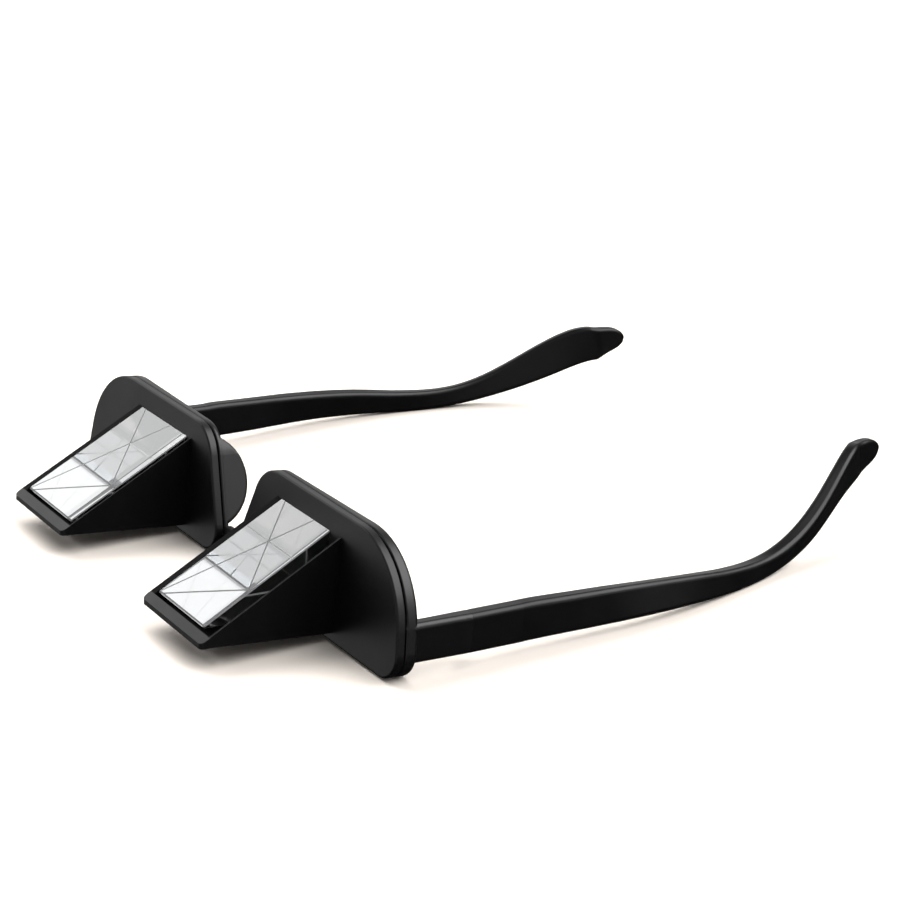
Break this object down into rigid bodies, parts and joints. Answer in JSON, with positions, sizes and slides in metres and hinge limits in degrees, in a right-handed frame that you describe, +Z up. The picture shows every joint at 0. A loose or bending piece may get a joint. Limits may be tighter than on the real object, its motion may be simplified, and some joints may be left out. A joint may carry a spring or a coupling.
{
  "type": "prism bed glasses",
  "caption": "Black spectacle frame with mirrored glass prisms in wedge housings that turn the view down, and folding temples.",
  "frame": {"origin": "centre of the bounding box in plan, at the bottom plane on which the glasses lie upside down, as pictured", "axes": "The glasses lie upside down on their brow edges and temple bends. +X towards the wearer's right, +Y from the front back along the open temples, +Z up, which is downwards when worn. Level parts of the worn frame slope down towards +Y by 2.8 degrees."},
  "size_m": [0.1436, 0.1773, 0.0271],
  "materials": {
    "frame_plastic": "satin black",
    "housing_plastic": "satin black",
    "retainer_plastic": "matt black",
    "temple_plastic": "satin black",
    "prism_glass": "polished optical glass, mirror coated on its long lower face",
    "hinge_steel": "satin",
    "screw_steel": "satin"
  },
  "bodies": {
    "front": {"front_frame": "frame_plastic", "prism_housing_right": "housing_plastic", "prism_housing_left": "housing_plastic", "prism_right": "prism_glass", "prism_left": "prism_glass", "prism_retainer_right": "retainer_plastic", "prism_retainer_left": "retainer_plastic", "retainer_screws_right": "screw_steel", "retainer_screws_left": "screw_steel", "hinge_front_leaf_right": "hinge_steel", "hinge_front_leaf_left": "hinge_steel", "front_leaf_screws_right": "screw_steel", "front_leaf_screws_left": "screw_steel", "hinge_screw_right": "screw_steel", "hinge_screw_left": "screw_steel"},
    "temple_right": {"hinge_temple_leaf_right": "hinge_steel", "temple_leaf_screws_right": "screw_steel", "temple_right": "temple_plastic"},
    "temple_left": {"hinge_temple_leaf_left": "hinge_steel", "temple_leaf_screws_left": "screw_steel", "temple_left": "temple_plastic"}
  },
  "joints": [
    {"name": "temple_right_fold", "type": "hinge", "parent": "front", "child": "temple_right", "pos_m": [0.0655, -0.0409, 0.00711], "axis": [0, 0.0488, 0.9988], "range_deg": [0, 78]},
    {"name": "temple_left_fold", "type": "hinge", "parent": "front", "child": "temple_left", "pos_m": [-0.0655, -0.0409, 0.00711], "axis": [0, -0.0488, -0.9988], "range_deg": [0, 85]}
  ]
}
